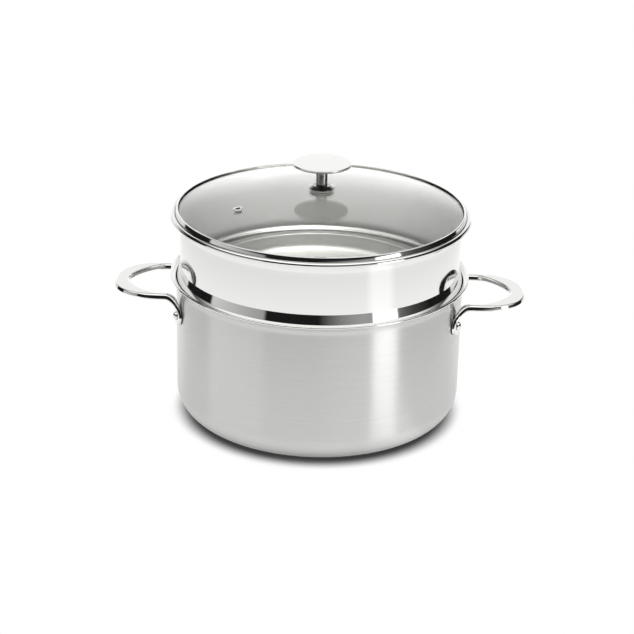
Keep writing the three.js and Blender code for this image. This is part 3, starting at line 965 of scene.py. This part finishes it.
def steamer_mesh():
    """The outline goes out under the ledge, up the skirt and wall, over the mouth and back inside."""
    low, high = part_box("steamer_wall")
    under = low[2]
    ledge = under + STEAMER_SHEET
    rim = high[2] + STEAMER_RIM_RISE
    lip = mouth(STEAMER_INNER, STEAMER_SHEET, STEAMER_FLARE, STEAMER_SWEEP, rim, STEAMER_CURL)
    outside, edge, inside = lip
    skirt = [
        (LEDGE_BORE, under),
        (SKIRT_OUTER - SKIRT_FLAT_STOP, under),
        (SKIRT_OUTER - SKIRT_EDGE_IN, under + SKIRT_EDGE_UP),
        (STEAMER_OUTER, under + SKIRT_HEIGHT),
    ]
    corner = arc((STEAMER_INNER - LEDGE_FILLET, ledge + LEDGE_FILLET), LEDGE_FILLET, 0, -90)
    well = np.vstack([inside[-1:], corner])
    runs = [(0, skirt), (0, outside), (0, edge), (1, inside), (1, well), (0, [(LEDGE_BORE, ledge)])]
    return turned("steamer_shell", runs)


piece(steamer_mesh(), "steamer", "steamer_wall", ["polished_steel", "satin_steel"])

# %% [markdown]
# ## Steaming tray
# A pressed dish that hangs by its flange on the steamer's ledge, with holes that let the steam rise. The
# dish is turned. Its holes are punched with one boolean, because rings of round holes through a turned
# surface have no simple formula of two parameters.

# %% Tray
TRAY_SHEET = 1 * MM
WELL_OUTER = 97 * MM
WELL_CORNER = 6 * MM
WELL_INNER_CORNER = 9 * MM
FLANGE_BEND = 1 * MM


def tray_mesh():
    """Underside first: out along the floor, up the well, over the flange, and back down inside."""
    low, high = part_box("steaming_tray")
    floor = low[2]
    flange = high[2]
    brim = high[0]
    well = WELL_OUTER - TRAY_SHEET
    corner = (WELL_OUTER - WELL_CORNER, floor + WELL_CORNER)
    dish = (well - WELL_INNER_CORNER, floor + TRAY_SHEET + WELL_INNER_CORNER)
    outside = [(WELL_OUTER, flange - TRAY_SHEET), (brim, flange - TRAY_SHEET), (brim, flange)]
    lip = arc((well + FLANGE_BEND, flange - FLANGE_BEND), FLANGE_BEND, 90, 180)
    inside = np.vstack([arc(dish, WELL_INNER_CORNER, 0, -90), [(0, floor + TRAY_SHEET)]])
    runs = [[(0, floor)], arc(corner, WELL_CORNER, -90, 0), outside, lip, inside]
    return turned("steam_tray", [(0, run) for run in runs])


tray = piece(tray_mesh(), "steamer", "steaming_tray", ["tray_steel"])

# %% Holes
HOLE_RADIUS = 2.8 * MM
HOLE_PITCH = 17 * MM
HOLE_RINGS = 4
HOLE_FACETS = 24
PUNCH_REACH = 5 * MM
SLIVER = 0.02 * MM


def hole_places():
    """One hole in the middle, then rings of 6, 12, 18 and so on at an even pitch."""
    places = [(0.0, 0.0)]
    for ring in range(1, HOLE_RINGS + 1):
        for index in range(6 * ring):
            angle = 2 * math.pi * index / (6 * ring)
            places.append((ring * HOLE_PITCH * math.cos(angle), ring * HOLE_PITCH * math.sin(angle)))
    return places


def rods(name, places, radius, low, high, facets, tilt=None):
    """Upright closed rods, as one object to cut with."""
    work = bmesh.new()
    for x, y in places:
        place = Matrix.Translation((x, y, (low + high) / 2))
        bmesh.ops.create_cone(work, cap_ends=True, segments=facets, radius1=radius, radius2=radius,
                              depth=high - low, matrix=place)
    mesh = bpy.data.meshes.new(name)
    work.to_mesh(mesh)
    work.free()
    if tilt is not None:
        mesh.transform(tilt)
    made = bpy.data.objects.new(name, mesh)
    bpy.context.collection.objects.link(made)
    return made


def punch(target, cutter):
    """Cuts the rods out of a piece, clears the slivers, keeps the result and drops the rods."""
    cut = target.modifiers.new("punch", "BOOLEAN")
    cut.operation = "DIFFERENCE"
    cut.solver = "EXACT"
    cut.object = cutter
    result = bpy.data.meshes.new_from_object(target.evaluated_get(bpy.context.evaluated_depsgraph_get()))
    target.modifiers.remove(cut)
    work = bmesh.new()
    work.from_mesh(result)
    bmesh.ops.dissolve_degenerate(work, dist=SLIVER, edges=work.edges)
    work.to_mesh(result)
    work.free()
    target.data = result
    result.shade_smooth()
    result.set_sharp_from_angle(angle=SHARP_ANGLE)
    bpy.data.objects.remove(cutter)
    print(target.name, "punched,", len(result.polygons), "faces")


tray_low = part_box("steaming_tray")[0][2]
tray_rods = rods("tray_punch", hole_places(), HOLE_RADIUS, tray_low - PUNCH_REACH, tray_low + PUNCH_REACH,
                 HOLE_FACETS)
punch(tray, tray_rods)

# %% [markdown]
# ## Lid glass
# The glass is part of a sphere, with a hole in the middle for the knob and one for the vent. A squashed
# sphere would have the wrong curve, so the radius is worked out from the glass's width and its rise.
# The hole for the vent is punched, as the tray's are, but square to the slope.

# %% Glass
GLASS_THICKNESS = 3.5 * MM
GLASS_HOLE = 4 * MM
GLASS_EDGE = 1.2 * MM
GLASS_RISE = 17 * MM
GLASS_STEPS = 60
GLASS_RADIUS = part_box("lid_glass")[1][0]
GLASS_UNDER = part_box("lid_glass")[0][2]
GLASS_RIM = GLASS_UNDER + GLASS_THICKNESS
DOME_RADIUS = (GLASS_RADIUS ** 2 + GLASS_RISE ** 2) / (2 * GLASS_RISE)
DOME_CENTRE = GLASS_RIM + GLASS_RISE - DOME_RADIUS
VENT_HOLE = 3.3 * MM
VENT_FROM_AXIS = 77.5 * MM
VENT_DIRECTION = math.radians(210)
VENT_PUNCH_REACH = 12 * MM


def dome_height(radius):
    """Height of the glass's top at a distance from the axis."""
    return DOME_CENTRE + np.sqrt(DOME_RADIUS ** 2 - radius ** 2)


def glass_mesh():
    """Underside from the hole out, a chamfered edge, and the top back to the hole."""
    radii = np.linspace(GLASS_HOLE, GLASS_RADIUS - GLASS_EDGE, GLASS_STEPS)
    top = np.column_stack([radii, dome_height(radii)])
    under = top - [0, GLASS_THICKNESS]
    edge = [(GLASS_RADIUS, GLASS_UNDER + GLASS_EDGE), (GLASS_RADIUS, GLASS_RIM - GLASS_EDGE)]
    return turned("glass_dome", [(0, under), (0, edge), (0, top[::-1])])


def vent_tilt():
    """The vent stands square to the glass: a turn to its direction, then a lean down the slope."""
    lean = math.asin(VENT_FROM_AXIS / DOME_RADIUS)
    place = Matrix.Translation((VENT_FROM_AXIS, 0, dome_height(VENT_FROM_AXIS)))
    return Matrix.Rotation(VENT_DIRECTION, 4, "Z") @ place @ Matrix.Rotation(lean, 4, "Y")


glass = piece(glass_mesh(), "lid", "lid_glass", ["tempered_glass"])
vent_rod = rods("vent_punch", [(0, 0)], VENT_HOLE, -VENT_PUNCH_REACH, VENT_PUNCH_REACH, SMALL_FACETS,
                vent_tilt())
punch(glass, vent_rod)

# %% [markdown]
# ## Rim band
# A steel band is folded round the edge of the glass, and its underside lies in the steamer's mouth. Its
# side leans in a little towards the top. The folds follow no curve that a formula gives, so the outline
# is a list of points, which is then turned.

# %% Rim band
BAND_OUTLINE = np.array([
    (-1.9, 0.1), (-0.4, 0.1), (0.6, 1.1), (1.3, 1.95), (1.65, 2.35), (1.75, 2.6),
    (0.95, 5.4), (0.78, 5.8), (0.5, 6.05), (0.1, 6.15), (-0.6, 6.1), (-0.6, 5.6),
    (0.3, 4.3), (0.3, 1.25), (-0.1, 0.9), (-1.9, 0.9),
]) * MM


def band_mesh():
    """Outside from below: the part in the mouth, the leaning side, the top fold and back round the glass.
    The outline is measured from the glass's edge and the band's underside."""
    return turned("rim_band", [(0, BAND_OUTLINE + [GLASS_RADIUS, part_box("lid_rim_band")[0][2]])])


piece(band_mesh(), "lid", "lid_rim_band", ["polished_steel"])

# %% [markdown]
# ## Vent eyelet
# A small tube lines the vent, with a flange on each side of the glass. A torus and a cylinder would
# leave a seam between them, so it is one outline, turned upright and then tilted as the hole was.

# %% Vent eyelet
EYELET_BORE = 2 * MM
EYELET_BARREL = 3 * MM
EYELET_FLANGE = 4.2 * MM
EYELET_ROLL = 0.8 * MM


def eyelet_mesh():
    """A tube with a rolled flange above the glass and a flat one below, made at the glass's top."""
    top = CLEARANCE
    under = -GLASS_THICKNESS - CLEARANCE
    end = under - EYELET_ROLL
    lower = [(EYELET_BORE, end), (EYELET_FLANGE, end), (EYELET_FLANGE, under)]
    barrel = [(EYELET_BARREL, under), (EYELET_BARREL, top), (EYELET_FLANGE, top)]
    roll = arc((EYELET_FLANGE - EYELET_ROLL, top), EYELET_ROLL, 0, 90)
    throat = arc((EYELET_BORE + EYELET_ROLL, top), EYELET_ROLL, 90, 180)
    runs = [(0, lower), (0, barrel), (0, roll), (0, throat)]
    return turned("steam_eyelet", runs, SMALL_FACETS, vent_tilt())


piece(eyelet_mesh(), "lid", "vent_eyelet", ["polished_steel"])

# %% [markdown]
# ## Knob
# A stack on the lid's axis: a soft gasket, a flange, a stem and a disc. A screw from below, with its
# own washer and gasket, draws the stack onto the glass. One turned shape would look much the same, but
# the real knob comes apart, and each piece has its own finish.

# %% Gasket, flange, stem and disc
SCREW_PASS = 2.9 * MM
GASKET_EDGE = 0.3 * MM
FLANGE_TOP = 7.5 * MM
FLANGE_EDGE = 0.2 * MM
FLANGE_SIDE = 0.9 * MM
DISC_EDGE = 0.9 * MM


def flange_mesh():
    """A cone that narrows to the stem, on a short upright side."""
    low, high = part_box("knob_flange")
    radius = high[0]
    under = low[2]
    side = [
        (SCREW_PASS, under),
        (radius - FLANGE_EDGE, under),
        (radius, under + FLANGE_EDGE),
        (radius, under + FLANGE_SIDE),
    ]
    top = [(FLANGE_TOP, high[2]), (SCREW_PASS, high[2])]
    return turned("flange_cone", [(0, side), (0, top)], SMALL_FACETS)


def stem_mesh():
    """A plain turned stem, with a blind bore for the screw."""
    low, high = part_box("knob_stem")
    radius = high[0]
    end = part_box("knob_screw")[1][2] + CLEARANCE
    bore = [(0, end), (SCREW_PASS, end)]
    wall = [(SCREW_PASS, low[2]), (radius, low[2]), (radius, high[2])]
    return turned("stem_post", [(0, bore), (0, wall), (0, [(0, high[2])])], SMALL_FACETS)


gasket = plate("gasket_top", "knob_gasket", GASKET_EDGE, SCREW_PASS, SMALL_FACETS)
piece(gasket, "lid", "knob_gasket", ["silicone"])
# The flange and the stem get the darkened steel, which is painted shade.
piece(flange_mesh(), "lid", "knob_flange", ["knob_steel_painted_shade"])
piece(stem_mesh(), "lid", "knob_stem", ["knob_steel_painted_shade"])
# The disc's underside gets the nearly black steel, which is painted shade.
disc = plate("disc_top", "knob_disc", DISC_EDGE, numbers=(2, 1, 0))
piece(disc, "lid", "knob_disc", ["disc_steel", "polished_steel", "disc_underside_painted_shade"])

# %% Lower gasket, washer and screw
WASHER_EDGE = 0.2 * MM
SCREW_RADIUS = 2.5 * MM
SCREW_HEAD_HEIGHT = 2.8 * MM
SCREW_HEAD_EDGE = 1 * MM
SOCKET_RADIUS = 1.5 * MM
SOCKET_DEPTH = 1.6 * MM


def screw_mesh():
    """A pan head below, with a round socket, and a shank that goes up into the stem."""
    low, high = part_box("knob_screw")
    head = high[0]
    under = low[2]
    seat = under + SCREW_HEAD_HEIGHT
    bottom = under + SOCKET_DEPTH
    socket = [(0, bottom), (SOCKET_RADIUS, bottom), (SOCKET_RADIUS, under)]
    edge = arc((head - SCREW_HEAD_EDGE, under + SCREW_HEAD_EDGE), SCREW_HEAD_EDGE, -90, 0)
    shank = [(head, seat), (SCREW_RADIUS, seat), (SCREW_RADIUS, high[2]), (0, high[2])]
    return turned("lid_screw", [(0, socket), (0, edge), (0, shank)], SMALL_FACETS)


lower_gasket = plate("gasket_under", "under_glass_gasket", GASKET_EDGE, SCREW_PASS, SMALL_FACETS)
piece(lower_gasket, "lid", "under_glass_gasket", ["silicone"])
washer = plate("washer", "under_glass_washer", WASHER_EDGE, SCREW_PASS, SMALL_FACETS)
piece(washer, "lid", "under_glass_washer", ["polished_steel"])
piece(screw_mesh(), "lid", "knob_screw", ["polished_steel"])

# %% Colour view
bpy.context.scene.view_settings.view_transform = "Standard"
